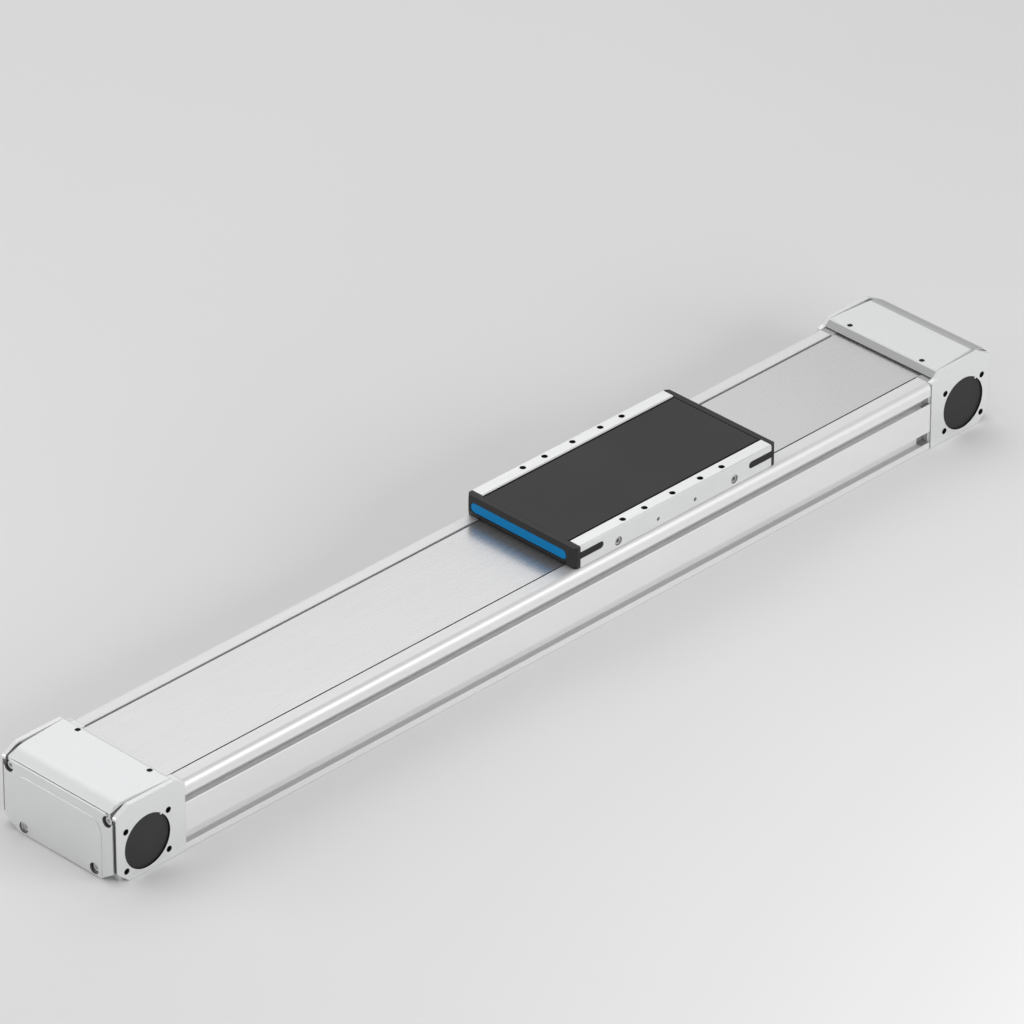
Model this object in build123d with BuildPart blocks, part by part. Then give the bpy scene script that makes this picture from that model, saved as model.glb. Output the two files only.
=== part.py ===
from build123d import *
import math
import os

os.makedirs("parts", exist_ok=True)

# ---------------------------------------------------------------- driving dimensions (mm)
# frame: +X along the axis towards the idler head, -Y the near long side, +Z up,
# origin in the middle of the underside
PROFILE_W = 160.0          # width of the extruded profile
PROFILE_L = 1050.0         # length of the extruded profile
RIM_Z = 77.8               # top of the two long rims
STRIP_TOP = 77.0           # top of the cover strip
STRIP_T = 0.6
STRIP_HALF = 58.7          # half width of the cover strip
GAP_OUT = 61.2             # inner edge of the rims: the slot beside the strip is 2.5 wide
CHAMBER_HALF = 64.0
CHAMBER_Z0 = 36.0
CHAMBER_Z1 = 73.8

PULLEY_X = 575.0           # pulley axes at +-X
PULLEY_Z = 34.2
TEETH = 32
PITCH = 5.0
R_PITCH = TEETH * PITCH / (2 * math.pi)
R_TIP = 24.89              # outside of the pulley teeth
R_GROOVE = 22.7
BELT_LAND = 25.2           # inside of the belt between teeth
BELT_TIP = 23.1
BELT_BACK = 26.9
BELT_HALF = 25.0           # half width of the belt

HEAD_IN = 525.2            # inner end of a head
HEAD_BLOCK = 607.0         # outer end of the housing block
HEAD_WALL = 615.0          # outer end of the side walls
HEAD_TOP = 86.0
HEAD_HALF = 80.3           # half width over the side pads
BORE_R = 27.5
DISC_R = 29.45
DISC_FACE = 78.3           # the discs sit 2 mm behind the pad faces
PAD_DX = 55.3              # pad hole pattern along X
PAD_DZ = 44.7              # pad hole pattern along Z
PAD_HOLE_R = 3.4
PAD_HOLE_R_FAR = 2.5       # the far side takes smaller screws
ROOF_IN = 531.7            # inner lower edge of the head's roof
ROOF_Z = 79.3
PLATE_IN = 614.9
PLATE_OUT = 616.6
PLATE_SCREWS_TOP = (69.0, 69.6)
PLATE_SCREWS_LOW = (49.7, 7.8)

CAR_X = 154.0              # middle of the carriage at rest
CAR_HALF = 137.0           # half length of the side bars
CAR_TOP = 103.2
BAR_OUT = 76.5
BAR_IN = 60.9
BAR_Z0 = 78.6
TOP_HOLES_X = (-71.0, -40.0, 0.0, 40.0, 71.0)
TOP_HOLES_Y = 70.0
TOP_HOLE_R = 3.4
SIDE_SCREW_DX = 83.3
SIDE_SCREW_Z = 85.9
SIDE_HOLE_DX = 26.5
SIDE_HOLE_Z = 86.9
CLIP_Z = 92.2
CLIP_R = 4.0
SLIDE_HALF = 125.0
RAIL_Y = 41.0
RAIL_L = 1042.0
BLOCK_DX = 90.0
CLAMP_IN, CLAMP_OUT = 12.0, 48.0
CLAMP_SCREW_Y = 27.8


# ---------------------------------------------------------------- small helpers
def box(x0, x1, y0, y1, z0, z1, mode=Mode.ADD):
    with Locations(((x0 + x1) / 2, (y0 + y1) / 2, (z0 + z1) / 2)):
        Box(abs(x1 - x0), abs(y1 - y0), abs(z1 - z0), mode=mode)


def box2(x0, x1, y0, y1, z0, z1, mode=Mode.ADD):
    # the same box on both sides of the XZ plane
    box(x0, x1, y0, y1, z0, z1, mode)
    box(x0, x1, -y1, -y0, z0, z1, mode)


def xcyl(x0, x1, y, z, r, mode=Mode.ADD):
    with Locations(((x0 + x1) / 2, y, z)):
        Cylinder(r, abs(x1 - x0), rotation=(0, 90, 0), mode=mode)


def ycyl(x, z, r, y0, y1, mode=Mode.ADD):
    with Locations((x, (y0 + y1) / 2, z)):
        Cylinder(r, abs(y1 - y0), rotation=(90, 0, 0), mode=mode)


def zcyl(x, y, r, z0, z1, mode=Mode.ADD):
    with Locations((x, y, (z0 + z1) / 2)):
        Cylinder(r, abs(z1 - z0), mode=mode)


def hex_prism(plane, r, depth):
    # a hexagon socket cut from the plane inwards
    face = plane * RegularPolygon(r, 6, mode=Mode.PRIVATE)
    extrude(face, amount=-depth, mode=Mode.SUBTRACT)


def rect(y0, y1, z0, z1, mode=Mode.SUBTRACT):
    with Locations(((y0 + y1) / 2, (z0 + z1) / 2)):
        Rectangle(abs(y1 - y0), abs(z1 - z0), mode=mode)


def rect2(y0, y1, z0, z1, mode=Mode.SUBTRACT):
    rect(y0, y1, z0, z1, mode)
    rect(-y1, -y0, z0, z1, mode)


def save(builder, label):
    builder.part.label = label
    export_step(builder.part, "parts/" + label + ".step")


# ---------------------------------------------------------------- extruded profile
with BuildPart() as profile:
    with BuildSketch(Plane.YZ.offset(-PROFILE_L / 2)):
        Rectangle(PROFILE_W, RIM_Z, align=(Align.CENTER, Align.MIN))
        fillet(vertices().sort_by(Axis.Y)[-2:], 7.1)
        fillet(vertices().sort_by(Axis.Y)[:2], 1.0)
        rect(-GAP_OUT, GAP_OUT, CHAMBER_Z1 - 1, RIM_Z + 1)          # opening under the strip
        rect(-CHAMBER_HALF, CHAMBER_HALF, CHAMBER_Z0, CHAMBER_Z1)    # slide chamber
        rect(-29, 29, 4.5, 17.0)                                     # return channel of the belt
        rect(-26, 26, 21.0, 32.0)                                    # hollow
        rect2(34, 58, 14.0, 28.0)                                    # side hollows
        rect2(75.5, 80.5, 53.8, 62.3)                                # side slot, mouth
        rect2(69.0, 75.5, 50.0, 66.0)                                # side slot, undercut
        rect2(73.0, 80.5, 8.0, 20.2)                                 # clamping groove
        rect2(73.0, 76.0, 20.2, 23.0)                                # its undercut
        rect2(41.9, 50.1, -0.5, 4.0)                                 # slot in the underside
        rect2(38.0, 54.0, 4.0, 10.4)
        for s in (-1, 1):
            with Locations((s * 68.5, 42.0), (s * 66.0, 24.0)):
                Circle(3.4, mode=Mode.SUBTRACT)                      # screw channels
            with Locations((s * 80.0, 62.3), (s * 80.0, 53.8), (s * 80.0, 20.2), (s * 80.0, 8.0)):
                Rectangle(1.0, 1.0, rotation=45, mode=Mode.SUBTRACT)  # lip bevels
    extrude(amount=PROFILE_L)
    for s in (-1, 1):                                                # rail screw threads
        with Locations(*[(80.0 * i, s * RAIL_Y, 31.0) for i in range(-6, 7)]):
            Cylinder(2.5, 12.0, mode=Mode.SUBTRACT)
    # nut pockets milled at the idler end of the near side
    box(513.0, 526.0, -81.0, -66.0, 53.8, 62.3, Mode.SUBTRACT)
    box(513.0, 526.0, -81.0, -70.0, 8.0, 20.2, Mode.SUBTRACT)
save(profile, "profile")

# ---------------------------------------------------------------- cover strip
with BuildPart() as cover_strip:
    box(-551.0, 551.0, -STRIP_HALF, STRIP_HALF, STRIP_TOP - STRIP_T, STRIP_TOP)
save(cover_strip, "cover_strip")

# ---------------------------------------------------------------- guide rails
with BuildPart() as guide_rail_near:
    with BuildSketch(Plane.YZ.offset(-RAIL_L / 2)):
        with Locations((-RAIL_Y, 44.0)):
            Rectangle(20.0, 16.0)
        fillet(vertices(), 0.8)
        with Locations((-RAIL_Y - 10.0, 46.0), (-RAIL_Y + 10.0, 46.0)):
            Circle(1.7, mode=Mode.SUBTRACT)
    extrude(amount=RAIL_L)
    with Locations(*[(80.0 * i, -RAIL_Y, 44.0) for i in range(-6, 7)]):
        Cylinder(2.8, 17.0, mode=Mode.SUBTRACT)
    with Locations(*[(80.0 * i, -RAIL_Y, 49.6) for i in range(-6, 7)]):
        Cylinder(4.9, 5.2, mode=Mode.SUBTRACT)
save(guide_rail_near, "guide_rail_near")

with BuildPart() as guide_rail_far:
    add(mirror(guide_rail_near.part, about=Plane.XZ))
save(guide_rail_far, "guide_rail_far")

with BuildPart() as rail_screws:
    spots = [(80.0 * i, s * RAIL_Y) for i in range(-6, 7) for s in (-1, 1)]
    with BuildSketch(Plane.XY.offset(47.0)):
        with Locations(*spots):
            Circle(4.25)
    extrude(amount=4.4)
    with BuildSketch(Plane.XY.offset(26.5)):
        with Locations(*spots):
            Circle(2.48)
    extrude(amount=20.6)
    with BuildSketch(Plane.XY.offset(51.4)):
        with Locations(*spots):
            RegularPolygon(2.3, 6)
    extrude(amount=-2.6, mode=Mode.SUBTRACT)
save(rail_screws, "rail_screws")

# ---------------------------------------------------------------- heads (built at +X, mirrored to -X)
with BuildPart() as head_base:
    with BuildSketch(Plane.XZ):
        with BuildLine():
            Polyline(
                (HEAD_IN, 0.0), (HEAD_BLOCK, 0.0), (HEAD_BLOCK, 74.5), (614.3, 74.5),
                (614.3, 79.0), (602.5, HEAD_TOP), (539.5, HEAD_TOP), (ROOF_IN, ROOF_Z),
                (552.0, ROOF_Z), (552.0, STRIP_TOP - STRIP_T), (HEAD_IN, STRIP_TOP - STRIP_T), close=True)
        make_face()
        fillet(vertices().sort_by_distance((602.5, HEAD_TOP, 0.0))[0], 17.0)
    extrude(amount=74.4, both=True)
    # side walls with the mounting pads
    for s in (-1, 1):
        with BuildSketch(Plane.XZ.offset(-s * 74.4)):
            with BuildLine():
                Polyline(
                    (HEAD_IN, 0.0), (599.5, 0.0), (HEAD_WALL, 13.6), (HEAD_WALL, 77.2),
                    (598.0, HEAD_TOP), (539.5, HEAD_TOP), (ROOF_IN, ROOF_Z), (HEAD_IN, RIM_Z), close=True)
            make_face()
            fillet(vertices().sort_by_distance((HEAD_WALL, 77.2, 0.0))[0], 3.5)
            fillet(vertices().sort_by_distance((HEAD_WALL, 13.6, 0.0))[0], 5.0)
            fillet(vertices().sort_by_distance((599.5, 0.0, 0.0))[0], 5.0)
            fillet(vertices().sort_by_distance((ROOF_IN, ROOF_Z, 0.0))[0], 3.0)
        extrude(amount=-s * (HEAD_HALF - 74.4))
    # shoulders beside the strip and the roof's side supports
    box2(HEAD_IN, 552.0, 60.2, 74.4, 76.4, RIM_Z)
    box2(ROOF_IN + 12.0, 552.0, 62.0, 74.4, RIM_Z, ROOF_Z)
    # bevel between the top and the pads: it starts wide at the inner end and drops towards the outer end
    for s in (-1, 1):
        for x, y1, z1, zm, z2 in ((HEAD_IN - 0.5, 73.4, 78.3, 76.0, 71.4), (ROOF_IN, 75.1, 79.4, 77.4, 73.6),
                                  (539.5, 75.2, 86.1, 84.0, 80.8), (592.0, 75.2, 82.7, 81.6, 79.9),
                                  (616.0, 75.2, 75.8, 75.4, 74.2)):
            with BuildSketch(Plane.YZ.offset(x)):
                with BuildLine():
                    Polyline((s * y1, z1), (s * 78.6, zm), (s * 80.35, z2), (s * 82.0, z2), (s * 82.0, 95.0),
                             (s * y1, 95.0), close=True)
                make_face()
        loft(ruled=True, mode=Mode.SUBTRACT)
        # the top's own edge falls with it
        for x, yr, zr, zt in ((538.0, 75.0, 86.05, 85.9), (592.0, 71.0, 86.05, 82.6), (603.0, 70.0, 84.9, 80.6),
                              (616.0, 70.0, 78.9, 78.4)):
            with BuildSketch(Plane.YZ.offset(x)):
                with BuildLine():
                    Polyline((s * yr, zr), (s * 75.2, zt), (s * 75.2, 95.0), (s * yr, 95.0), close=True)
                make_face()
        loft(ruled=True, mode=Mode.SUBTRACT)
    # groove between the top's tongue and the pad walls, then the side walls thin out behind the end plate
    for s in (-1, 1):
        with BuildSketch(Plane.XY.offset(74.5)):
            with BuildLine():
                Polyline((592.0, s * 75.2), (595.0, s * 73.75), (600.0, s * 72.5), (605.0, s * 72.0),
                         (616.0, s * 71.6), (616.0, s * 75.2), close=True)
            make_face()
        extrude(amount=20.0, mode=Mode.SUBTRACT)
        box(HEAD_BLOCK, 616.0, s * 73.0, s * 75.2, 73.3, 74.6, Mode.SUBTRACT)
        with BuildSketch(Plane.XY.offset(-1.0)):
            with BuildLine():
                Polyline((HEAD_BLOCK, s * 76.4), (HEAD_WALL + 0.1, s * 79.6), (HEAD_WALL + 0.1, s * 74.0),
                         (HEAD_BLOCK, s * 73.9), close=True)
            make_face()
        extrude(amount=74.5, mode=Mode.SUBTRACT)
    # pulley room, belt ports, bearing bores
    ycyl(PULLEY_X, PULLEY_Z, 30.0, -29.0, 29.0, Mode.SUBTRACT)
    box(HEAD_IN - 1, PULLEY_X, -29.0, 29.0, 55.4, 63.4, Mode.SUBTRACT)
    box(HEAD_IN - 1, PULLEY_X, -29.0, 29.0, 4.6, 12.9, Mode.SUBTRACT)
    ycyl(PULLEY_X, PULLEY_Z, BORE_R, -81.0, 81.0, Mode.SUBTRACT)
    for s in (-1, 1):
        ycyl(PULLEY_X, PULLEY_Z, 29.6, s * (DISC_FACE - 2.5), s * 81.0, Mode.SUBTRACT)
        ycyl(PULLEY_X, PULLEY_Z, 28.5, s * 43.6, s * 45.4, Mode.SUBTRACT)
        # pad threads
        for dx in (-PAD_DX / 2, PAD_DX / 2):
            for dz in (-PAD_DZ / 2, PAD_DZ / 2):
                ycyl(PULLEY_X + dx, PULLEY_Z + dz, PAD_HOLE_R if s < 0 else PAD_HOLE_R_FAR,
                     s * 62.3, s * 81.0, Mode.SUBTRACT)
        # bolts into the profile, with wrench holes in the outer wall
        for y, z in ((68.5, 42.0), (66.0, 24.0)):
            xcyl(HEAD_IN - 1, 545.0, s * y, z, 4.4, Mode.SUBTRACT)
            xcyl(541.0, 575.0, s * y, z, 6.8, Mode.SUBTRACT)
            xcyl(590.0, 608.0, s * y, z, 4.5, Mode.SUBTRACT)
        # threads of the end plate's screws
        xcyl(590.0, 608.0, s * PLATE_SCREWS_TOP[0], PLATE_SCREWS_TOP[1], 2.5, Mode.SUBTRACT)
        xcyl(590.0, 608.0, s * PLATE_SCREWS_LOW[0], PLATE_SCREWS_LOW[1], 2.5, Mode.SUBTRACT)
        # clamp screws of the strip, and the buffers' threads
        zcyl(543.0, s * 50.5, 3.0, 79.0, 87.0, Mode.SUBTRACT)
        xcyl(HEAD_IN - 1, 536.0, s * 45.0, 67.5, 3.0, Mode.SUBTRACT)

with BuildPart() as idler_head_housing:
    add(head_base.part)
    for s in (-1, 1):
        # joint line to the profile, and the small lug over the cover disc
        box(HEAD_IN - 1.0, HEAD_IN + 1.4, s * 77.0, s * 81.0, -1.0, 76.4, Mode.SUBTRACT)
        ycyl(PULLEY_X + 18.4, PULLEY_Z + 22.6, 1.3, s * (DISC_FACE + 0.1), s * (HEAD_HALF - 0.05))
save(idler_head_housing, "idler_head_housing")

with BuildPart() as drive_head_housing:
    add(mirror(head_base.part, about=Plane.YZ))
    for s in (-1, 1):
        ycyl(-PULLEY_X + 18.4, PULLEY_Z + 22.6, 1.3, s * (DISC_FACE + 0.1), s * (HEAD_HALF - 0.05))
save(drive_head_housing, "drive_head_housing")

# black frame behind the end plate, with the seals that fill the joints beside the plate and the top
with BuildPart() as idler_end_frame:
    with BuildSketch(Plane.YZ.offset(HEAD_BLOCK + 0.1)):
        with BuildLine():
            Polyline((-57.6, 0.9), (57.6, 0.9), (75.8, 12.8), (75.8, 68.2), (68.6, 74.3),
                     (-68.6, 74.3), (-75.8, 68.2), (-75.8, 12.8), close=True)
        make_face()
        rect(-44.0, 44.0, 14.0, 60.0)
    extrude(amount=7.1)
    for s in (-1, 1):
        with BuildSketch(Plane.XY.offset(5.0)):
            with BuildLine():
                Polyline((HEAD_BLOCK + 0.1, s * 73.0), (614.2, s * 73.0), (614.2, s * 79.05),
                         (HEAD_BLOCK + 0.1, s * 76.2), close=True)
            make_face()
        extrude(amount=68.3)
        with BuildSketch(Plane.XY.offset(66.0)):
            with BuildLine():
                Polyline((593.4, s * 74.9), (595.2, s * 73.95), (600.0, s * 72.7), (605.0, s * 72.2),
                         (614.2, s * 71.85), (614.2, s * 75.05), (593.4, s * 75.05), close=True)
            make_face()
        extrude(amount=20.0)
        box(HEAD_BLOCK, 614.3, s * 79.04, s * 80.0, 0.0, 90.0, Mode.SUBTRACT)
    # under the tongue's corners and outside the walls' outline
    box(590.0, HEAD_BLOCK + 0.1, -80.0, 80.0, 60.0, 74.65, Mode.SUBTRACT)
    with BuildSketch(Plane.XZ):
        with BuildLine():
            Polyline((590.0, 83.5), (593.5, 83.2), (600.0, 82.6), (605.0, 81.3), (610.0, 79.7), (614.3, 78.2),
                     (616.0, 100.0), (590.0, 100.0), close=True)
        make_face()
    extrude(amount=90.0, both=True, mode=Mode.SUBTRACT)
    with BuildSketch(Plane.XZ):
        with BuildLine():
            Polyline((599.0, -1.0), (616.0, -1.0), (616.0, 15.0), (599.0, 0.2), close=True)
        make_face()
    extrude(amount=90.0, both=True, mode=Mode.SUBTRACT)
    for y, z in (PLATE_SCREWS_TOP, PLATE_SCREWS_LOW):
        for s in (-1, 1):
            xcyl(609.2, 615.0, s * y, z, 6.2, Mode.SUBTRACT)
            xcyl(606.0, 612.0, s * y, z, 2.7, Mode.SUBTRACT)
save(idler_end_frame, "idler_end_frame")

with BuildPart() as drive_end_frame:
    add(mirror(idler_end_frame.part, about=Plane.YZ))
save(drive_end_frame, "drive_end_frame")

# end plate with a faint raised field, corners cut, screw recesses open at the corners
with BuildPart() as idler_end_plate:
    with BuildSketch(Plane.YZ.offset(PLATE_IN)):
        with BuildLine():
            Polyline((-58.5, 0.6), (58.5, 0.6), (76.3, 12.4), (76.3, 68.5), (66.7, 77.8),
                     (-66.7, 77.8), (-76.3, 68.5), (-76.3, 12.4), close=True)
        make_face()
        with Locations(*[(s * y, z) for y, z in (PLATE_SCREWS_TOP, PLATE_SCREWS_LOW) for s in (-1, 1)]):
            Circle(6.2, mode=Mode.SUBTRACT)
    extrude(amount=PLATE_OUT - PLATE_IN)
    with BuildSketch(Plane.YZ.offset(PLATE_OUT)):
        with BuildLine():
            Polyline((-58.0, 0.9), (58.0, 0.9), (60.8, 2.8), (60.8, 66.2), (-60.8, 66.2), (-60.8, 2.8), close=True)
        make_face()
        fillet(vertices().sort_by(Axis.Y)[-2:], 15.0)
        with Locations(*[(s * y, z) for y, z in (PLATE_SCREWS_TOP, PLATE_SCREWS_LOW) for s in (-1, 1)]):
            Circle(6.25, mode=Mode.SUBTRACT)
    extrude(amount=0.35)
save(idler_end_plate, "idler_end_plate")

with BuildPart() as drive_end_plate:
    add(mirror(idler_end_plate.part, about=Plane.YZ))
save(drive_end_plate, "drive_end_plate")

with BuildPart() as end_plate_screws:
    spots = [(s * y, z) for y, z in (PLATE_SCREWS_TOP, PLATE_SCREWS_LOW) for s in (-1, 1)]
    for e in (-1, 1):
        with BuildSketch(Plane.YZ.offset(e * 609.2)):
            with Locations(*spots):
                Circle(4.2)
        extrude(amount=e * 4.6)
        with BuildSketch(Plane.YZ.offset(e * 591.0)):
            with Locations(*spots):
                Circle(2.48)
        extrude(amount=e * 18.5)
        with BuildSketch(Plane.YZ.offset(e * 613.8)):
            with Locations(*spots):
                RegularPolygon(2.4, 6)
        extrude(amount=-e * 2.6, mode=Mode.SUBTRACT)
save(end_plate_screws, "end_plate_screws")

# bolts that hold the heads on the profile
with BuildPart() as head_bolts:
    spots = [(s * y, z) for y, z in ((68.5, 42.0), (66.0, 24.0)) for s in (-1, 1)]
    for e in (-1, 1):
        with BuildSketch(Plane.YZ.offset(e * 541.0)):
            with Locations(*spots):
                Circle(6.5)
        extrude(amount=e * 7.9)
        with BuildSketch(Plane.YZ.offset(e * 525.1)):
            with Locations(*spots):
                Circle(4.0)
        extrude(amount=e * 16.0)
        with BuildSketch(Plane.YZ.offset(e * 497.0)):
            with Locations(*spots):
                Circle(3.38)
        extrude(amount=e * 28.2)
        with BuildSketch(Plane.YZ.offset(e * 548.9)):
            with Locations(*spots):
                RegularPolygon(3.6, 6)
        extrude(amount=-e * 4.2, mode=Mode.SUBTRACT)
save(head_bolts, "head_bolts")

# ---------------------------------------------------------------- strip clamps
with BuildPart() as idler_strip_clamp:
    box(537.0, 551.0, -57.0, 57.0, STRIP_TOP, 79.1)
    chamfer(edges().group_by(Axis.Z)[-1], 0.5)
save(idler_strip_clamp, "idler_strip_clamp")

with BuildPart() as drive_strip_clamp:
    add(mirror(idler_strip_clamp.part, about=Plane.YZ))
save(drive_strip_clamp, "drive_strip_clamp")

with BuildPart() as strip_clamp_screws:
    spots = [(e * 543.0, s * 50.5) for e in (-1, 1) for s in (-1, 1)]
    with BuildSketch(Plane.XY.offset(79.1)):
        with Locations(*spots):
            Circle(2.96)
    extrude(amount=5.4)
    with BuildSketch(Plane.XY.offset(84.5)):
        with Locations(*spots):
            RegularPolygon(1.7, 6)
    extrude(amount=-2.4, mode=Mode.SUBTRACT)
save(strip_clamp_screws, "strip_clamp_screws")

# ---------------------------------------------------------------- cover discs of the bearing bores
with BuildPart() as idler_cover_disc_near:
    ycyl(PULLEY_X, PULLEY_Z, DISC_R, -DISC_FACE, -DISC_FACE + 2.4)
    chamfer(faces().sort_by(Axis.Y)[0].edges(), 0.4)
save(idler_cover_disc_near, "idler_cover_disc_near")

with BuildPart() as idler_cover_disc_far:
    add(mirror(idler_cover_disc_near.part, about=Plane.XZ))
save(idler_cover_disc_far, "idler_cover_disc_far")

with BuildPart() as drive_cover_disc_near:
    add(mirror(idler_cover_disc_near.part, about=Plane.YZ))
save(drive_cover_disc_near, "drive_cover_disc_near")

with BuildPart() as drive_cover_disc_far:
    add(mirror(idler_cover_disc_far.part, about=Plane.YZ))
save(drive_cover_disc_far, "drive_cover_disc_far")

# ---------------------------------------------------------------- toothed pulleys
with BuildPart() as drive_pulley:
    with BuildSketch(Plane.XZ):
        with Locations((-PULLEY_X, PULLEY_Z)):
            Circle(R_TIP)
        groove = []
        for k in range(TEETH):
            a = math.radians(90.0 + 360.0 / TEETH * k)
            c, n = math.cos(a), math.sin(a)
            pts = []
            for r, w in ((R_GROOVE, -1.45), (R_GROOVE, 1.45), (25.5, 1.85), (25.5, -1.85)):
                pts.append((-PULLEY_X + r * c - w * n, PULLEY_Z + r * n + w * c))
            with BuildLine():
                Polyline(*pts, close=True)
            make_face(mode=Mode.SUBTRACT)
        with Locations((-PULLEY_X, PULLEY_Z)):
            Circle(17.0, mode=Mode.SUBTRACT)
    extrude(amount=25.4, both=True)
    for s in (-1, 1):
        with BuildSketch(Plane.XZ.offset(s * 25.4)):
            with Locations((-PULLEY_X, PULLEY_Z)):
                Circle(27.1)
                Circle(17.0, mode=Mode.SUBTRACT)
        extrude(amount=s * 1.6)
save(drive_pulley, "drive_pulley")

with BuildPart() as idler_pulley:
    add(mirror(drive_pulley.part, about=Plane.YZ))
save(idler_pulley, "idler_pulley")

with BuildPart() as drive_hub:
    ycyl(-PULLEY_X, PULLEY_Z, 16.98, -30.4, 30.4)
    ycyl(-PULLEY_X, PULLEY_Z, 15.0, -44.5, 44.5)
    chamfer(edges().filter_by(GeomType.CIRCLE).group_by(Axis.Y)[-1], 0.8)
    chamfer(edges().filter_by(GeomType.CIRCLE).group_by(Axis.Y)[0], 0.8)
    ycyl(-PULLEY_X, PULLEY_Z, 10.0, -50.0, 50.0, Mode.SUBTRACT)
    box(-PULLEY_X - 3.0, -PULLEY_X + 3.0, -50.0, 50.0, PULLEY_Z + 8.0, PULLEY_Z + 12.6, Mode.SUBTRACT)
save(drive_hub, "drive_hub")

with BuildPart() as idler_hub:
    add(mirror(drive_hub.part, about=Plane.YZ))
save(idler_hub, "idler_hub")

# ---------------------------------------------------------------- bearings
BRG_IN, BRG_OUT = 30.5, 43.5
BRG_MID = (BRG_IN + BRG_OUT) / 2
with BuildPart() as bearing_outer_rings:
    for e in (-1, 1):
        for s in (-1, 1):
            ycyl(e * PULLEY_X, PULLEY_Z, 27.46, s * BRG_IN, s * BRG_OUT)
            ycyl(e * PULLEY_X, PULLEY_Z, 23.5, s * 30.0, s * 44.0, Mode.SUBTRACT)
            with Locations((e * PULLEY_X, s * BRG_MID, PULLEY_Z)):
                Torus(21.25, 3.6, rotation=(90, 0, 0), mode=Mode.SUBTRACT)
save(bearing_outer_rings, "bearing_outer_rings")

with BuildPart() as bearing_balls:
    for e in (-1, 1):
        for s in (-1, 1):
            spots = [(e * PULLEY_X + 21.25 * math.cos(2 * math.pi * k / 11), s * BRG_MID,
                      PULLEY_Z + 21.25 * math.sin(2 * math.pi * k / 11)) for k in range(11)]
            with Locations(*spots):
                Sphere(3.5)
save(bearing_balls, "bearing_balls")

with BuildPart() as drive_bearing_inner_rings:
    for s in (-1, 1):
        ycyl(-PULLEY_X, PULLEY_Z, 19.0, s * BRG_IN, s * BRG_OUT)
        ycyl(-PULLEY_X, PULLEY_Z, 15.02, s * 30.0, s * 44.0, Mode.SUBTRACT)
        with Locations((-PULLEY_X, s * BRG_MID, PULLEY_Z)):
            Torus(21.25, 3.85, rotation=(90, 0, 0), mode=Mode.SUBTRACT)
save(drive_bearing_inner_rings, "drive_bearing_inner_rings")

with BuildPart() as idler_bearing_inner_rings:
    add(mirror(drive_bearing_inner_rings.part, about=Plane.YZ))
save(idler_bearing_inner_rings, "idler_bearing_inner_rings")

with BuildPart() as retaining_rings:
    for e in (-1, 1):
        for s in (-1, 1):
            ycyl(e * PULLEY_X, PULLEY_Z, 28.4, s * 43.7, s * 45.3)
            ycyl(e * PULLEY_X, PULLEY_Z, 24.6, s * 43.0, s * 46.0, Mode.SUBTRACT)
            box(e * PULLEY_X - 7.0, e * PULLEY_X + 7.0, min(s * 43.0, s * 46.0), max(s * 43.0, s * 46.0),
                PULLEY_Z - 30.0, PULLEY_Z - 10.0, Mode.SUBTRACT)
save(retaining_rings, "retaining_rings")

# ---------------------------------------------------------------- toothed belt, one loop clamped under the slide
TOP_LAND = PULLEY_Z + BELT_LAND
TOP_TIP = PULLEY_Z + BELT_TIP
TOP_BACK = PULLEY_Z + BELT_BACK
LOW_LAND = PULLEY_Z - BELT_LAND
LOW_TIP = PULLEY_Z - BELT_TIP
LOW_BACK = PULLEY_Z - BELT_BACK
belt_end_l = CAR_X - CLAMP_IN
belt_end_r = CAR_X + CLAMP_IN


def run_teeth(x_from, x_to, land, tip):
    # toothed side of a straight run, from x_from to x_to, teeth on the pitch grid
    step = 1 if x_to > x_from else -1
    pts = []
    k0 = math.ceil((min(x_from, x_to) + 1.8 + PULLEY_X) / PITCH)
    k1 = math.floor((max(x_from, x_to) - 1.8 + PULLEY_X) / PITCH)
    ks = range(k0, k1 + 1) if step > 0 else range(k1, k0 - 1, -1)
    for k in ks:
        x = -PULLEY_X + PITCH * k
        pts += [(x - step * 1.5, land), (x - step * 1.1, tip), (x + step * 1.1, tip), (x + step * 1.5, land)]
    return pts


def arc_teeth(cx, a_from, a_to):
    # toothed side round a pulley, clockwise or anticlockwise, ends excluded
    n = int(round(abs(a_to - a_from) / (360.0 / TEETH)))
    sgn = 1 if a_to > a_from else -1
    pts = []
    for k in range(0, n + 1):
        a = math.radians(a_from + sgn * 360.0 / TEETH * k)
        c, m = math.cos(a), math.sin(a)
        for r, w in ((BELT_LAND, -1.5), (BELT_TIP, -1.1), (BELT_TIP, 1.1), (BELT_LAND, 1.5)):
            w = w * sgn
            pts.append((cx + r * c - w * m, PULLEY_Z + r * m + w * c))
    return pts


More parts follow.
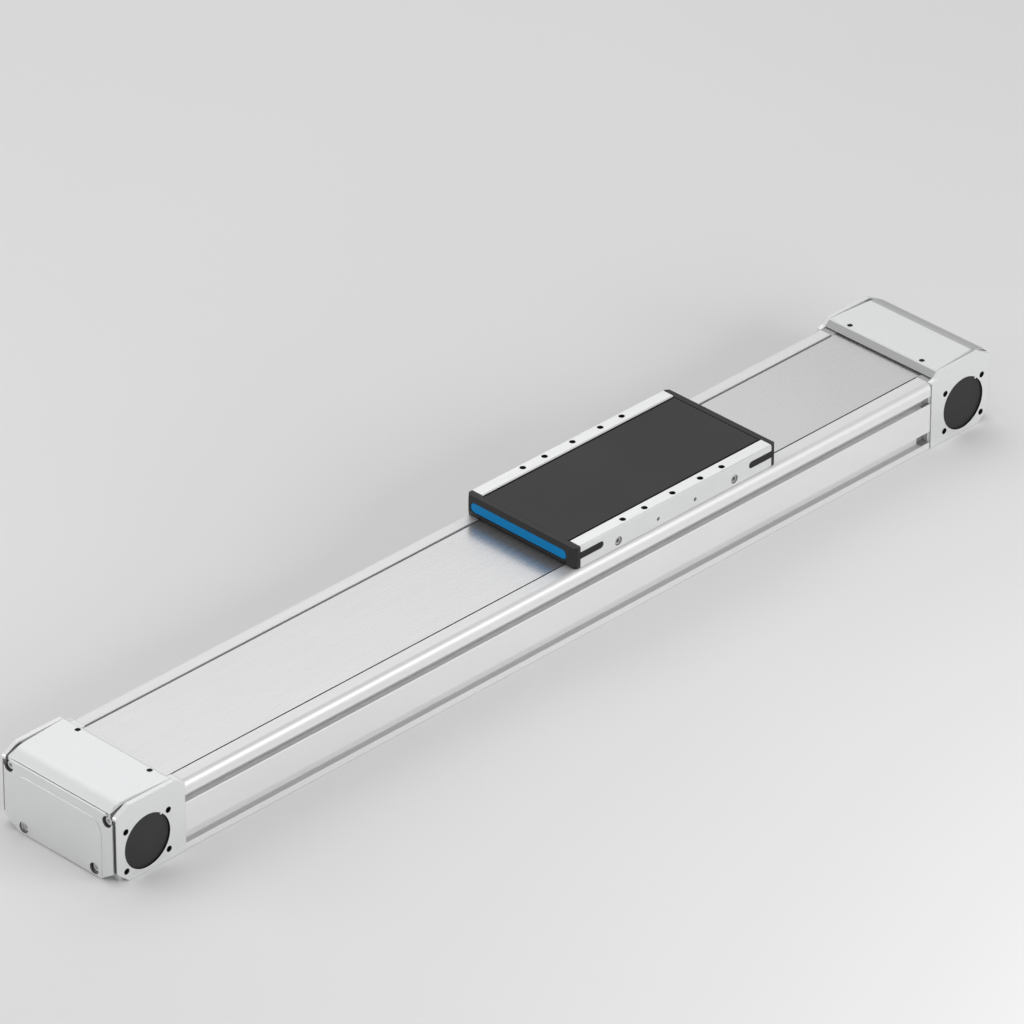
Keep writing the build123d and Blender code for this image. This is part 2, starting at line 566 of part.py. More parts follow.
with BuildPart() as toothed_belt:
    with BuildSketch(Plane.XZ):
        with BuildLine():
            # inside of the loop: from the left end over the drive pulley, back below, over the idler, to the right end
            inner = [(belt_end_l, TOP_LAND)]
            inner += run_teeth(belt_end_l, -PULLEY_X + 2.0, TOP_LAND, TOP_TIP)
            inner += arc_teeth(-PULLEY_X, 90.0, 270.0)
            inner += run_teeth(-PULLEY_X + 2.0, PULLEY_X - 2.0, LOW_LAND, LOW_TIP)
            inner += arc_teeth(PULLEY_X, -90.0, 90.0)
            inner += run_teeth(PULLEY_X - 2.0, belt_end_r, TOP_LAND, TOP_TIP)
            inner += [(belt_end_r, TOP_LAND), (belt_end_r, TOP_BACK), (PULLEY_X, TOP_BACK)]
            Polyline(*inner)
            ThreePointArc((PULLEY_X, TOP_BACK), (PULLEY_X + BELT_BACK, PULLEY_Z), (PULLEY_X, LOW_BACK))
            Line((PULLEY_X, LOW_BACK), (-PULLEY_X, LOW_BACK))
            ThreePointArc((-PULLEY_X, LOW_BACK), (-PULLEY_X - BELT_BACK, PULLEY_Z), (-PULLEY_X, TOP_BACK))
            Polyline((-PULLEY_X, TOP_BACK), (belt_end_l, TOP_BACK), (belt_end_l, TOP_LAND))
        make_face()
    extrude(amount=BELT_HALF, both=True)
save(toothed_belt, "toothed_belt")

# ---------------------------------------------------------------- end buffers
with BuildPart() as end_buffers:
    for e in (-1, 1):
        for s in (-1, 1):
            xcyl(e * 503.0, e * 525.0, s * 45.0, 67.5, 5.8)
            xcyl(e * 524.0, e * 535.0, s * 45.0, 67.5, 2.96)
save(end_buffers, "end_buffers")

# ---------------------------------------------------------------- carriage: side bars
with BuildPart() as side_bar_near:
    box(CAR_X - CAR_HALF, CAR_X + CAR_HALF, -BAR_OUT, -BAR_IN, BAR_Z0, CAR_TOP)
    chamfer(edges().filter_by(Axis.X).group_by(Axis.Z)[-1], 1.1)
    with Locations(*[(CAR_X + dx, -TOP_HOLES_Y, CAR_TOP) for dx in TOP_HOLES_X]):
        Cylinder(TOP_HOLE_R, 28.0, mode=Mode.SUBTRACT)
    for e in (-1, 1):
        x_end = CAR_X + e * CAR_HALF
        x_tip = CAR_X + e * (CAR_HALF - 28.6)
        box(min(x_end + e, x_tip), max(x_end + e, x_tip), -BAR_OUT - 1, -73.3, CLIP_Z - CLIP_R, CLIP_Z + CLIP_R,
            Mode.SUBTRACT)
        ycyl(x_tip, CLIP_Z, CLIP_R, -BAR_OUT - 1, -73.3, Mode.SUBTRACT)
        ycyl(CAR_X + e * SIDE_SCREW_DX, SIDE_SCREW_Z, 4.9, -BAR_OUT - 1, -71.0, Mode.SUBTRACT)
        ycyl(CAR_X + e * SIDE_SCREW_DX, SIDE_SCREW_Z, 2.7, -BAR_OUT, -60.0, Mode.SUBTRACT)
        ycyl(CAR_X + e * SIDE_HOLE_DX, SIDE_HOLE_Z, 2.1, -BAR_OUT - 1, -66.5, Mode.SUBTRACT)
save(side_bar_near, "side_bar_near")

with BuildPart() as side_bar_far:
    add(mirror(side_bar_near.part, about=Plane.XZ))
save(side_bar_far, "side_bar_far")

# plate between the bars, above the strip
with BuildPart() as saddle_plate:
    box(CAR_X - 130, CAR_X + 130, -59.0, 59.0, 79.2, 89.8)
    for dx in (-98.0, -33.0, 33.0, 98.0):
        box(CAR_X + dx - 24, CAR_X + dx + 24, -36.0, 36.0, 82.2, 90.5, Mode.SUBTRACT)
    for e in (-1, 1):
        for s in (-1, 1):
            ycyl(CAR_X + e * SIDE_SCREW_DX, SIDE_SCREW_Z, 2.5, s * 44.0, s * 60.0, Mode.SUBTRACT)
save(saddle_plate, "saddle_plate")

# thin webs that reach down through the slots beside the strip
with BuildPart() as web_plate_near:
    box(CAR_X - 114, CAR_X + 114, -60.7, -59.2, 64.2, 97.0)
    for e in (-1, 1):
        ycyl(CAR_X + e * SIDE_SCREW_DX, SIDE_SCREW_Z, 2.7, -62.0, -58.0, Mode.SUBTRACT)
    for dx in (-100.0, -50.0, 0.0, 50.0, 100.0):
        ycyl(CAR_X + dx, 67.5, 2.1, -62.0, -58.0, Mode.SUBTRACT)
save(web_plate_near, "web_plate_near")

with BuildPart() as web_plate_far:
    add(mirror(web_plate_near.part, about=Plane.XZ))
save(web_plate_far, "web_plate_far")

# slide plate inside the profile, carried by the runner blocks
with BuildPart() as slide_plate:
    with BuildSketch(Plane.YZ.offset(CAR_X - SLIDE_HALF)):
        rect(-59.1, 59.1, 63.0, 72.0, Mode.ADD)
        rect2(28.0, 57.0, 56.1, 63.5, Mode.ADD)
    extrude(amount=2 * SLIDE_HALF)
    for s in (-1, 1):
        for dx in (-100.0, -50.0, 0.0, 50.0, 100.0):
            ycyl(CAR_X + dx, 67.5, 2.0, s * 49.0, s * 60.0, Mode.SUBTRACT)
        for e in (-1, 1):
            for ddx in (-18.0, 18.0):
                for y in (31.0, 51.0):
                    zcyl(CAR_X + e * BLOCK_DX + ddx, s * y, 2.6, 55.0, 73.0, Mode.SUBTRACT)
                    zcyl(CAR_X + e * BLOCK_DX + ddx, s * y, 4.7, 66.6, 73.0, Mode.SUBTRACT)
            for dx in (20.0, 40.0):
                zcyl(CAR_X + e * dx, s * CLAMP_SCREW_Y, 2.15, 55.0, 73.0, Mode.SUBTRACT)
                zcyl(CAR_X + e * dx, s * CLAMP_SCREW_Y, 3.8, 67.4, 73.0, Mode.SUBTRACT)
save(slide_plate, "slide_plate")

with BuildPart() as runner_blocks:
    for e in (-1, 1):
        with BuildSketch(Plane.YZ.offset(CAR_X + e * BLOCK_DX - 35.0)):
            rect2(21.0, 61.0, 39.0, 56.0, Mode.ADD)
            rect2(RAIL_Y - 10.4, RAIL_Y + 10.4, 38.0, 52.6)
        extrude(amount=70.0)
    spots = [(CAR_X + e * BLOCK_DX + ddx, s * y) for e in (-1, 1) for ddx in (-18.0, 18.0)
             for s in (-1, 1) for y in (31.0, 51.0)]
    with BuildSketch(Plane.XY.offset(56.0)):
        with Locations(*spots):
            Circle(2.5)
    extrude(amount=-3.4, mode=Mode.SUBTRACT)
save(runner_blocks, "runner_blocks")

with BuildPart() as runner_block_seals:
    for e in (-1, 1):
        for f in (-38.2, 35.1):
            with BuildSketch(Plane.YZ.offset(CAR_X + e * BLOCK_DX + f)):
                rect2(21.6, 60.4, 39.5, 55.6, Mode.ADD)
                rect2(RAIL_Y - 10.5, RAIL_Y + 10.5, 38.0, 52.7)
            extrude(amount=3.1)
save(runner_block_seals, "runner_block_seals")

with BuildPart() as runner_block_screws:
    spots = [(CAR_X + e * BLOCK_DX + ddx, s * y) for e in (-1, 1) for ddx in (-18.0, 18.0)
             for s in (-1, 1) for y in (31.0, 51.0)]
    with BuildSketch(Plane.XY.offset(66.6)):
        with Locations(*spots):
            Circle(4.25)
    extrude(amount=4.6)
    with BuildSketch(Plane.XY.offset(52.9)):
        with Locations(*spots):
            Circle(2.48)
    extrude(amount=13.8)
    with BuildSketch(Plane.XY.offset(71.2)):
        with Locations(*spots):
            RegularPolygon(2.3, 6)
    extrude(amount=-2.6, mode=Mode.SUBTRACT)
save(runner_block_screws, "runner_block_screws")

# ---------------------------------------------------------------- belt clamps under the slide plate
with BuildPart() as belt_clamp_plates:
    for e in (-1, 1):
        xa, xb = sorted((CAR_X + e * CLAMP_IN, CAR_X + e * CLAMP_OUT))
        box(xa, xb, -30.3, 30.3, 48.5, 55.9)
        box(xa, xb, -25.0, 25.0, 55.9, TOP_LAND - 0.3)
        with BuildSketch(Plane.XZ):
            k0 = math.floor((xa + PULLEY_X) / PITCH)
            k1 = math.ceil((xb + PULLEY_X) / PITCH)
            for k in range(k0, k1 + 1):
                x = -PULLEY_X + PITCH * k
                with BuildLine():
                    Polyline((x - 1.45, TOP_TIP - 0.3), (x + 1.45, TOP_TIP - 0.3), (x + 1.9, TOP_LAND),
                             (x - 1.9, TOP_LAND), close=True)
                make_face()
        extrude(amount=30.0, both=True, mode=Mode.SUBTRACT)
        for s in (-1, 1):
            for dx in (20.0, 40.0):
                zcyl(CAR_X + e * dx, s * CLAMP_SCREW_Y, 2.0, 48.0, 57.0, Mode.SUBTRACT)
save(belt_clamp_plates, "belt_clamp_plates")

with BuildPart() as belt_pressure_bars:
    for e in (-1, 1):
        xa, xb = sorted((CAR_X + e * CLAMP_IN, CAR_X + e * CLAMP_OUT))
        box(xa, xb, -25.5, 25.5, TOP_BACK + 0.1, 63.0)
save(belt_pressure_bars, "belt_pressure_bars")

with BuildPart() as belt_clamp_screws:
    spots = [(CAR_X + e * dx, s * CLAMP_SCREW_Y) for e in (-1, 1) for dx in (20.0, 40.0) for s in (-1, 1)]
    with BuildSketch(Plane.XY.offset(67.4)):
        with Locations(*spots):
            Circle(3.5)
    extrude(amount=4.2)
    with BuildSketch(Plane.XY.offset(49.4)):
        with Locations(*spots):
            Circle(1.98)
    extrude(amount=18.1)
    with BuildSketch(Plane.XY.offset(71.6)):
        with Locations(*spots):
            RegularPolygon(1.9, 6)
    extrude(amount=-2.2, mode=Mode.SUBTRACT)
save(belt_clamp_screws, "belt_clamp_screws")

# ---------------------------------------------------------------- screws of the bars and webs
with BuildPart() as side_bar_screws:
    for s in (-1, 1):
        for e in (-1, 1):
            ycyl(CAR_X + e * SIDE_SCREW_DX, SIDE_SCREW_Z, 4.25, s * 71.0, s * 75.4)
            ycyl(CAR_X + e * SIDE_SCREW_DX, SIDE_SCREW_Z, 2.48, s * 46.0, s * 71.2)
        with BuildSketch(Plane.XZ.offset(-s * 75.4)):
            with Locations((CAR_X - SIDE_SCREW_DX, SIDE_SCREW_Z), (CAR_X + SIDE_SCREW_DX, SIDE_SCREW_Z)):
                RegularPolygon(2.4, 6)
        extrude(amount=s * 2.6, mode=Mode.SUBTRACT)
save(side_bar_screws, "side_bar_screws")

with BuildPart() as web_screws:
    for s in (-1, 1):
        for dx in (-100.0, -50.0, 0.0, 50.0, 100.0):
            ycyl(CAR_X + dx, 67.5, 3.4, s * 60.7, s * 62.2)
            ycyl(CAR_X + dx, 67.5, 1.98, s * 50.0, s * 60.8)
save(web_screws, "web_screws")

# ---------------------------------------------------------------- carriage cover and end caps
with BuildPart() as centre_cover:
    box(CAR_X - CAR_HALF, CAR_X + CAR_HALF - 0.9, -58.6, 58.6, 99.2, 102.2)
    box2(CAR_X - CAR_HALF + 6, CAR_X + CAR_HALF - 6, 56.4, 58.4, 89.9, 99.5)
    for dx in (-66.0, 0.0, 66.0):
        box(CAR_X + dx - 1.2, CAR_X + dx + 1.2, -57.5, 57.5, 89.9, 99.5)
save(centre_cover, "centre_cover")

CAP_IN = CAR_X - CAR_HALF - 0.2
CAP_X = 6.0
with BuildPart() as front_end_cap:
    with BuildSketch(Plane.XZ):
        with BuildLine():
            Polyline((CAP_IN, 78.4), (CAP_IN, 102.2), (9.8, 102.2), (CAP_X, 99.2), (CAP_X, 86.2),
                     (10.4, 78.4), close=True)
        make_face()
    extrude(amount=76.3, both=True)
    for s in (-1, 1):
        with BuildSketch(Plane.XY.offset(77.0)):
            with BuildLine():
                Polyline((5.0, s * 70.0), (CAP_X, s * 70.0), (12.8, s * 76.0), (12.8, s * 78.0), (5.0, s * 78.0),
                         close=True)
            make_face()
        extrude(amount=27.0, mode=Mode.SUBTRACT)
    # groove of the wiper, recess of the insert, seats of the clips
    box(10.8, 14.8, -75.0, 75.0, 78.0, 81.0, Mode.SUBTRACT)
    with BuildSketch(Plane.YZ.offset(CAP_X - 1.0)):
        with Locations((0.0, 92.3)):
            SlotOverall(134.4, 11.4)
    extrude(amount=3.6, mode=Mode.SUBTRACT)
    for s in (-1, 1):
        box(14.0, 18.0, min(s * 73.3, s * 78.0), max(s * 73.3, s * 78.0), CLIP_Z - CLIP_R, CLIP_Z + CLIP_R,
            Mode.SUBTRACT)
save(front_end_cap, "front_end_cap")

with BuildPart() as rear_end_cap:
    add(mirror(front_end_cap.part, about=Plane.YZ.offset(CAR_X)))
save(rear_end_cap, "rear_end_cap")

with BuildPart() as front_insert:
    with BuildSketch(Plane.YZ.offset(CAP_X + 2.6)):
        with Locations((0.0, 92.3)):
            SlotOverall(134.0, 11.0)
    extrude(amount=-2.4)
    chamfer(faces().sort_by(Axis.X)[0].edges(), 0.6)
save(front_insert, "front_insert")

with BuildPart() as rear_insert:
    add(mirror(front_insert.part, about=Plane.YZ.offset(CAR_X)))
save(rear_insert, "rear_insert")

with BuildPart() as cap_clips:
    for e in (-1, 1):
        for s in (-1, 1):
            xa = CAR_X + e * (CAR_HALF + 2.8)
            x_tip = CAR_X + e * (CAR_HALF - 28.6)
            box(min(xa, x_tip), max(xa, x_tip), min(s * 73.3, s * 76.2), max(s * 73.3, s * 76.2),
                CLIP_Z - CLIP_R + 0.1, CLIP_Z + CLIP_R - 0.1)
            ycyl(x_tip, CLIP_Z, CLIP_R - 0.1, s * 73.3, s * 76.2)
save(cap_clips, "cap_clips")

with BuildPart() as front_wiper:
    box(10.9, 14.7, -74.5, 74.5, 78.0, 80.9)
    box(10.9, 14.7, -57.6, 57.6, 77.15, 78.2)
    chamfer(edges().filter_by(Axis.Y).group_by(Axis.Z)[0], 0.5)
save(front_wiper, "front_wiper")

with BuildPart() as rear_wiper:
    add(mirror(front_wiper.part, about=Plane.YZ.offset(CAR_X)))
save(rear_wiper, "rear_wiper")
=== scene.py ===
import math

import bpy
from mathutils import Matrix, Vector

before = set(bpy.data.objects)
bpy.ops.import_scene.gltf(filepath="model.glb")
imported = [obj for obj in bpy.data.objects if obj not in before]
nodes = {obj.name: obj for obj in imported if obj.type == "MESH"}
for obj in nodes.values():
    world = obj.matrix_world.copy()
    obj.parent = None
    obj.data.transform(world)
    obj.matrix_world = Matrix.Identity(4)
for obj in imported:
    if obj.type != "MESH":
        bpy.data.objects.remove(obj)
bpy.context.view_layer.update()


# ------------------------------------------------------------------ node helpers
class Tree:
    """A small wrapper for building a material's node tree."""

    def __init__(self, name):
        self.mat = bpy.data.materials.new(name)
        self.mat.use_nodes = True
        self.nt = self.mat.node_tree
        self.nt.nodes.clear()
        self.out = self.nt.nodes.new("ShaderNodeOutputMaterial")
        self.bsdf = self.nt.nodes.new("ShaderNodeBsdfPrincipled")
        self.nt.links.new(self.bsdf.outputs["BSDF"], self.out.inputs["Surface"])
        self.coord = self.nt.nodes.new("ShaderNodeTexCoord").outputs["Object"]

    def node(self, kind, **props):
        n = self.nt.nodes.new(kind)
        for k, v in props.items():
            setattr(n, k, v)
        return n

    def link(self, a, b):
        self.nt.links.new(a, b)

    def stretched(self, scale, rotation=(0, 0, 0)):
        m = self.node("ShaderNodeMapping")
        m.inputs["Scale"].default_value = scale
        m.inputs["Rotation"].default_value = rotation
        self.link(self.coord, m.inputs["Vector"])
        return m.outputs["Vector"]

    def noise(self, vector, scale, detail=3.0, rough=0.55, distortion=0.0):
        n = self.node("ShaderNodeTexNoise")
        n.inputs["Scale"].default_value = scale
        n.inputs["Detail"].default_value = detail
        n.inputs["Roughness"].default_value = rough
        n.inputs["Distortion"].default_value = distortion
        self.link(vector, n.inputs["Vector"])
        return n.outputs["Fac"]

    def voronoi(self, vector, scale):
        n = self.node("ShaderNodeTexVoronoi")
        n.inputs["Scale"].default_value = scale
        self.link(vector, n.inputs["Vector"])
        return n.outputs["Distance"]

    def ranged(self, value, a, b, to_a, to_b):
        n = self.node("ShaderNodeMapRange")
        n.inputs["From Min"].default_value = a
        n.inputs["From Max"].default_value = b
        n.inputs["To Min"].default_value = to_a
        n.inputs["To Max"].default_value = to_b
        self.link(value, n.inputs["Value"])
        return n.outputs["Result"]

    def maths(self, op, a, b=None):
        n = self.node("ShaderNodeMath", operation=op)
        for i, v in enumerate((a, b)):
            if v is None:
                continue
            if isinstance(v, (int, float)):
                n.inputs[i].default_value = v
            else:
                self.link(v, n.inputs[i])
        return n.outputs[0]

    def mix(self, factor, a, b):
        n = self.node("ShaderNodeMix", data_type="RGBA")
        if isinstance(factor, (int, float)):
            n.inputs["Factor"].default_value = factor
        else:
            self.link(factor, n.inputs["Factor"])
        for socket, v in ((n.inputs[6], a), (n.inputs[7], b)):
            if isinstance(v, tuple):
                socket.default_value = (*v, 1.0)
            else:
                self.link(v, socket)
        return n.outputs[2]

    def bevelled(self, radius):
        n = self.node("ShaderNodeBevel", samples=4)
        n.inputs["Radius"].default_value = radius
        return n.outputs["Normal"]

    def edge_mask(self, bevel_normal, low=0.02, high=0.35):
        """1 on sharp outer edges, 0 on flats: how far the rounded normal leaves the true one."""
        geo = self.node("ShaderNodeNewGeometry")
        d = self.node("ShaderNodeVectorMath", operation="DOT_PRODUCT")
        self.link(bevel_normal, d.inputs[0])
        self.link(geo.outputs["Normal"], d.inputs[1])
        off = self.maths("SUBTRACT", 1.0, d.outputs["Value"])
        return self.ranged(off, low, high, 0.0, 1.0)

    def bump(self, height, strength, distance, normal=None):
        n = self.node("ShaderNodeBump")
        n.inputs["Strength"].default_value = strength
        n.inputs["Distance"].default_value = distance
        self.link(height, n.inputs["Height"])
        if normal is not None:
            self.link(normal, n.inputs["Normal"])
        return n.outputs["Normal"]

    def separate(self):
        n = self.node("ShaderNodeSeparateXYZ")
        self.link(self.coord, n.inputs["Vector"])
        return n.outputs

    def within(self, value, low, high):
        a = self.maths("GREATER_THAN", value, low)
        b = self.maths("LESS_THAN", value, high)
        return self.maths("MULTIPLY", a, b)


def metal(name, color, rough, grain, grain_scale, bump, metallic=1.0, radius=0.0004, worn=0.12,
          anisotropic=0.0, tangent_axis="X", wear_tint=0.06, blotch=2.2, specks=0.0):
    """Brushed, extruded, milled or blasted metal: a stretched grain for roughness and relief, soft patches, worn edges."""
    t = Tree(name)
    v = t.stretched(grain)
    lines = t.noise(v, grain_scale, detail=5.0, rough=0.62)
    fine = t.noise(t.coord, 2600.0, detail=2.0, rough=0.5)
    patch = t.noise(t.coord, blotch, detail=4.0, rough=0.6, distortion=0.4)
    normal = t.bevelled(radius)
    edge = t.edge_mask(normal)
    chips = t.ranged(t.noise(t.coord, 160.0, detail=4.0, rough=0.65), 0.42, 0.62, 0.25, 1.0)
    wear = t.maths("MULTIPLY", edge, chips)
    darker = tuple(c * (1 - wear_tint) for c in color)
    base = t.mix(t.ranged(patch, 0.3, 0.7, 0.0, 1.0), darker, color)
    base = t.mix(t.maths("MULTIPLY", t.ranged(lines, 0.35, 0.65, 0.0, 1.0), 0.35), base, darker)
    bright = tuple(min(1.0, c + (1 - c) * 0.45) for c in color)
    base = t.mix(t.maths("MULTIPLY", wear, worn * 3.0), base, bright)
    t.link(base, t.bsdf.inputs["Base Color"])
    r = t.ranged(lines, 0.3, 0.7, rough - 0.055, rough + 0.055)
    r = t.maths("ADD", r, t.ranged(patch, 0.3, 0.7, -0.03, 0.03))
    r = t.maths("SUBTRACT", r, t.maths("MULTIPLY", wear, worn))
    t.link(r, t.bsdf.inputs["Roughness"])
    t.bsdf.inputs["Metallic"].default_value = metallic
    if anisotropic:
        t.bsdf.inputs["Anisotropic"].default_value = anisotropic
        tan = t.node("ShaderNodeTangent", direction_type="RADIAL", axis=tangent_axis)
        t.link(tan.outputs["Tangent"], t.bsdf.inputs["Tangent"])
    h = t.maths("ADD", t.maths("MULTIPLY", lines, 0.7), t.maths("MULTIPLY", fine, 0.3))
    if specks:
        h = t.maths("ADD", h, t.maths("MULTIPLY", t.voronoi(t.coord, 1500.0), specks))
    t.link(t.bump(h, bump, 0.00012, normal), t.bsdf.inputs["Normal"])
    return t


def plastic(name, color, rough, grain_scale=1500.0, bump=0.25, radius=0.0004, light=0.10, coat=0.0, specular=0.5):
    """Moulded or coated black and coloured surfaces: a fine pebbled grain, soft patches and rubbed edges."""
    t = Tree(name)
    pebble = t.voronoi(t.coord, grain_scale)
    fine = t.noise(t.coord, grain_scale * 1.7, detail=3.0)
    patch = t.noise(t.coord, 9.0, detail=5.0, rough=0.6)
    normal = t.bevelled(radius)
    edge = t.edge_mask(normal)
    rub = t.ranged(t.noise(t.coord, 130.0, detail=5.0, rough=0.7), 0.45, 0.65, 0.2, 1.0)
    wear = t.maths("MULTIPLY", edge, rub)
    paler = tuple(min(1.0, c + 0.05 + c * 0.25) for c in color)
    base = t.mix(t.ranged(patch, 0.3, 0.75, 0.0, 0.18), color, paler)
    base = t.mix(t.maths("MULTIPLY", wear, light * 3.0), base, paler)
    t.link(base, t.bsdf.inputs["Base Color"])
    r = t.ranged(fine, 0.3, 0.7, rough - 0.06, rough + 0.06)
    r = t.maths("ADD", r, t.ranged(patch, 0.3, 0.7, -0.05, 0.05))
    r = t.maths("SUBTRACT", r, t.maths("MULTIPLY", wear, 0.12))
    t.link(r, t.bsdf.inputs["Roughness"])
    t.bsdf.inputs["Specular IOR Level"].default_value = specular
    if coat:
        t.bsdf.inputs["Coat Weight"].default_value = coat
        t.bsdf.inputs["Coat Roughness"].default_value = 0.18
    h = t.maths("ADD", t.maths("MULTIPLY", pebble, 0.7), t.maths("MULTIPLY", fine, 0.3))
    t.link(t.bump(h, bump, 0.00010, normal), t.bsdf.inputs["Normal"])
    return t


def darkened(t, mask, color=(0.012, 0.012, 0.012), rough=0.6):
    """Paints a part of a metal dark where mask is 1: painted shade standing in for the shadow in holes, recesses,
    gaps and shaded faces.
    """
    for name, value in (("Base Color", None), ("Metallic", 0.0), ("Roughness", rough)):
        socket = t.bsdf.inputs[name]
        old = socket.links[0].from_socket if socket.links else None
        if name == "Base Color":
            t.link(t.mix(mask, old, color), socket)
        else:
            n = t.node("ShaderNodeMix", data_type="FLOAT")
            t.link(mask, n.inputs["Factor"])
            if old is not None:
                t.link(old, n.inputs[2])
            else:
                n.inputs[2].default_value = socket.default_value
            n.inputs[3].default_value = value
            t.link(n.outputs[0], socket)


# ------------------------------------------------------------------ materials, one or more for each slot
MAT = {}
MAT["profile"] = metal("anodised_profile", (0.78, 0.78, 0.782), 0.50, (0.6, 60.0, 60.0), 22.0, 0.10,
                       metallic=0.55, radius=0.0005, worn=0.10, specks=0.05)
MAT["head"] = metal("head_aluminium", (0.79, 0.795, 0.80), 0.46, (1.0, 1.0, 1.0), 900.0, 0.16,
                    metallic=0.70, radius=0.0007, worn=0.10, specks=0.25)
MAT["plate"] = metal("plate_aluminium", (0.77, 0.775, 0.78), 0.44, (1.0, 14.0, 1.0), 160.0, 0.12,
                     metallic=0.75, radius=0.0005, worn=0.10, specks=0.10)
MAT["strip"] = metal("strip_steel", (0.59, 0.59, 0.595), 0.30, (0.5, 60.0, 60.0), 30.0, 0.02,
                     metallic=0.80, radius=0.0002, worn=0.05)
MAT["web"] = metal("web_steel", (0.55, 0.55, 0.56), 0.32, (0.5, 30.0, 60.0), 30.0, 0.10)
MAT["bar"] = metal("bar_aluminium", (0.80, 0.805, 0.81), 0.40, (1.2, 45.0, 45.0), 24.0, 0.10,
                   metallic=0.80, radius=0.0004, worn=0.12, specks=0.06)
MAT["machined"] = metal("machined_aluminium", (0.74, 0.745, 0.75), 0.36, (2.0, 30.0, 30.0), 40.0, 0.16,
                        metallic=1.0)
MAT["rail"] = metal("ground_steel", (0.50, 0.50, 0.51), 0.22, (0.5, 60.0, 60.0), 30.0, 0.06)
MAT["bearing"] = metal("bearing_steel", (0.66, 0.66, 0.67), 0.14, (20.0, 2.0, 20.0), 30.0, 0.04, worn=0.04)
MAT["screw"] = metal("screw_steel", (0.52, 0.52, 0.525), 0.30, (4.0, 4.0, 4.0), 90.0, 0.14, radius=0.0003)
MAT["screw_bright"] = metal("screw_zinc", (0.80, 0.80, 0.80), 0.42, (4.0, 4.0, 4.0), 90.0, 0.14, radius=0.0003,
                            metallic=0.6)
MAT["screw_black"] = metal("screw_black_oxide", (0.10, 0.10, 0.105), 0.38, (4.0, 4.0, 4.0), 90.0, 0.14,
                           radius=0.0003, metallic=0.6)
MAT["cap"] = plastic("cap_black_plastic", (0.012, 0.012, 0.0125), 0.48, 1700.0, 0.22, specular=0.30)
MAT["clip"] = plastic("clip_black_plastic", (0.010, 0.010, 0.0105), 0.52, 1700.0, 0.22, specular=0.22)
MAT["frame"] = plastic("frame_black_plastic", (0.115, 0.115, 0.116), 0.60, 1400.0, 0.25, specular=0.3)
MAT["cover"] = plastic("cover_black", (0.0165, 0.0165, 0.017), 0.55, 1900.0, 0.18, radius=0.0003, specular=0.35)
MAT["disc"] = plastic("disc_black", (0.015, 0.015, 0.0155), 0.55, 1700.0, 0.20, radius=0.0003, specular=0.35)
MAT["blue"] = plastic("insert_blue", (0.0010, 0.205, 0.50), 0.46, 2200.0, 0.08, radius=0.0004, light=0.0,
                      specular=0.10)
MAT["rubber"] = plastic("belt_rubber", (0.016, 0.016, 0.016), 0.68, 900.0, 0.40, specular=0.35)
MAT["wiper"] = plastic("wiper_rubber", (0.012, 0.012, 0.012), 0.60, 1200.0, 0.30, specular=0.35)

# painted shade: black walls of holes, recesses and gaps between parts, found by their place on the node
def hole_mask(t, u, v, centres, radius):
    """1 inside any of the circles round the centres, in the plane of the two coordinates u and v."""
    total = None
    for cu, cv in centres:
        du, dv = t.maths("SUBTRACT", u, cu), t.maths("SUBTRACT", v, cv)
        d2 = t.maths("ADD", t.maths("MULTIPLY", du, du), t.maths("MULTIPLY", dv, dv))
        m = t.maths("LESS_THAN", d2, radius * radius)
        total = m if total is None else t.maths("MAXIMUM", total, m)
    return total


# painted shade: the bars' inner faces beside the cover are painted black as the shadow in the gap, and the thread
# bores seen from above are painted black as the shade inside them
t = MAT["bar"]
xyz = t.separate()
ay = t.maths("ABSOLUTE", xyz["Y"])
inner = t.maths("LESS_THAN", ay, 0.06095)
bores = hole_mask(t, xyz["X"], ay, [(0.154 + d, 0.070) for d in (-0.071, -0.040, 0.0, 0.040, 0.071)], 0.0035)
bores = t.maths("MULTIPLY", bores, t.within(xyz["Z"], 0.0880, 0.10290))
darkened(t, t.maths("MAXIMUM", inner, bores))
# painted shade: the short nut pockets at the idler end are painted near black as the shadow inside them
t = MAT["profile"]
xyz = t.separate()
pocket = t.maths("MULTIPLY", t.maths("GREATER_THAN", xyz["X"], 0.51299),
                 t.maths("GREATER_THAN", xyz["Y"], -0.0797))
pocket = t.maths("MULTIPLY", pocket, t.maths("LESS_THAN", xyz["Y"], -0.0655))
pocket = t.maths("MULTIPLY", pocket, t.maths("ADD", t.within(xyz["Z"], 0.0079, 0.0203), t.within(xyz["Z"], 0.0537, 0.0624)))
darkened(t, t.maths("MULTIPLY", pocket, 0.75), color=(0.03, 0.03, 0.03))
# painted shade: the floors of the lower grooves are painted darker and duller as the shade that falls on them
low = t.maths("MULTIPLY", t.within(xyz["Z"], 0.0060, 0.00815), t.maths("GREATER_THAN", t.maths("ABSOLUTE", xyz["Y"]), 0.0725))
low = t.maths("MULTIPLY", low, t.maths("LESS_THAN", t.maths("ABSOLUTE", xyz["Y"]), 0.07995))
darkened(t, t.maths("MULTIPLY", low, 0.55), color=(0.22, 0.22, 0.222), rough=0.5)
